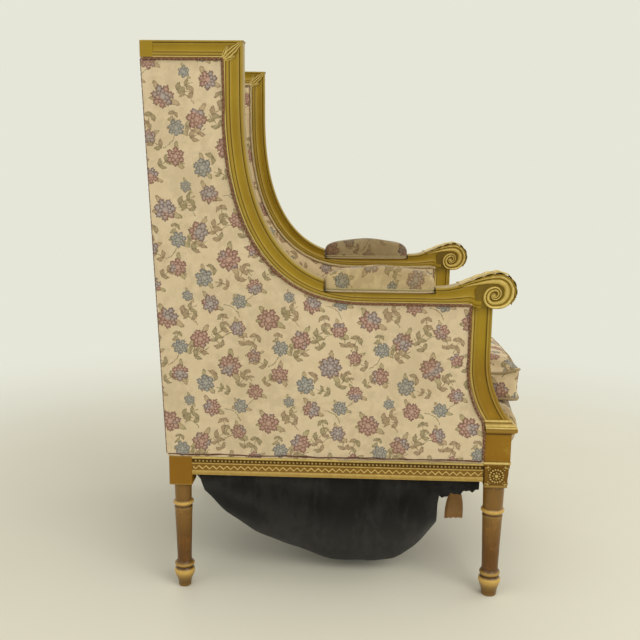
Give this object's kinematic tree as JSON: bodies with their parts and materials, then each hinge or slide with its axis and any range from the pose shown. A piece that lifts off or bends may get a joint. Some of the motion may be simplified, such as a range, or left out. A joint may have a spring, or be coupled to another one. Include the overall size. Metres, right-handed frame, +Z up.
{
  "type": "bergere_chair",
  "caption": "Wing bergere armchair: carved gold-painted frame, scrolled arms, turned legs, floral tapestry, loose seat cushion, sagging dust cover",
  "frame": {"origin": "bottom centre of the box around the chair, on the floor", "axes": "-Y is the way the chair faces, +Z is up, +X is the sitter's left"},
  "size_m": [0.637, 0.7559, 1.08],
  "materials": {
    "painted_wood": "olive-gold paint over carved beech, rubbed gilding on edges",
    "plain_beech": "bare sawn beech, hidden",
    "screw_steel": "plain steel",
    "spring_steel": "dark drawn wire",
    "jute_webbing": "coarse tan jute",
    "hessian": "open hessian weave",
    "stuffing": "stitched hair under calico",
    "floral_tapestry": "cream floral tapestry weave",
    "worn_tapestry": "older greenish tapestry, worn",
    "braid": "burgundy gimp braid with cream flecks",
    "black_cambric": "thin black cambric"
  },
  "bodies": {
    "frame": {"wing_stile_left": "painted_wood", "wing_stile_right": "painted_wood", "wing_top_rail_left": "painted_wood", "wing_top_rail_right": "painted_wood", "arm_rail_left": "painted_wood", "arm_rail_right": "painted_wood", "arm_support_left": "painted_wood", "arm_support_right": "painted_wood", "front_leg_left": "painted_wood", "front_leg_right": "painted_wood", "back_post_left": "painted_wood", "back_post_right": "painted_wood", "side_seat_rail_left": "painted_wood", "side_seat_rail_right": "painted_wood", "front_seat_rail": "painted_wood", "rear_seat_rail": "painted_wood", "crest_rail": "painted_wood", "back_stay_rail": "plain_beech", "side_stay_rail_left": "plain_beech", "side_stay_rail_right": "plain_beech", "corner_blocks": "plain_beech", "frame_dowels": "plain_beech", "corner_block_screws": "screw_steel", "seat_springs": "spring_steel", "seat_webbing": "jute_webbing", "back_webbing": "jute_webbing", "side_webbing_left": "jute_webbing", "side_webbing_right": "jute_webbing", "webbing_tail": "jute_webbing", "spring_burlap": "hessian", "seat_deck_pad": "stuffing", "front_roll": "floral_tapestry", "inside_back_pad": "floral_tapestry", "outside_back_panel": "floral_tapestry", "inside_side_pad_left": "floral_tapestry", "inside_side_pad_right": "floral_tapestry", "outside_side_panel_left": "floral_tapestry", "outside_side_panel_right": "floral_tapestry", "arm_pad_left": "worn_tapestry", "arm_pad_right": "worn_tapestry", "side_gimp_left": "braid", "side_gimp_right": "braid", "dust_cover": "black_cambric"},
    "cushion": {"seat_cushion": "floral_tapestry"}
  },
  "joints": [
    {"name": "cushion_lift", "type": "slide", "parent": "frame", "child": "cushion", "axis": [0, 0, 1], "range_m": [0, 0.7]}
  ]
}
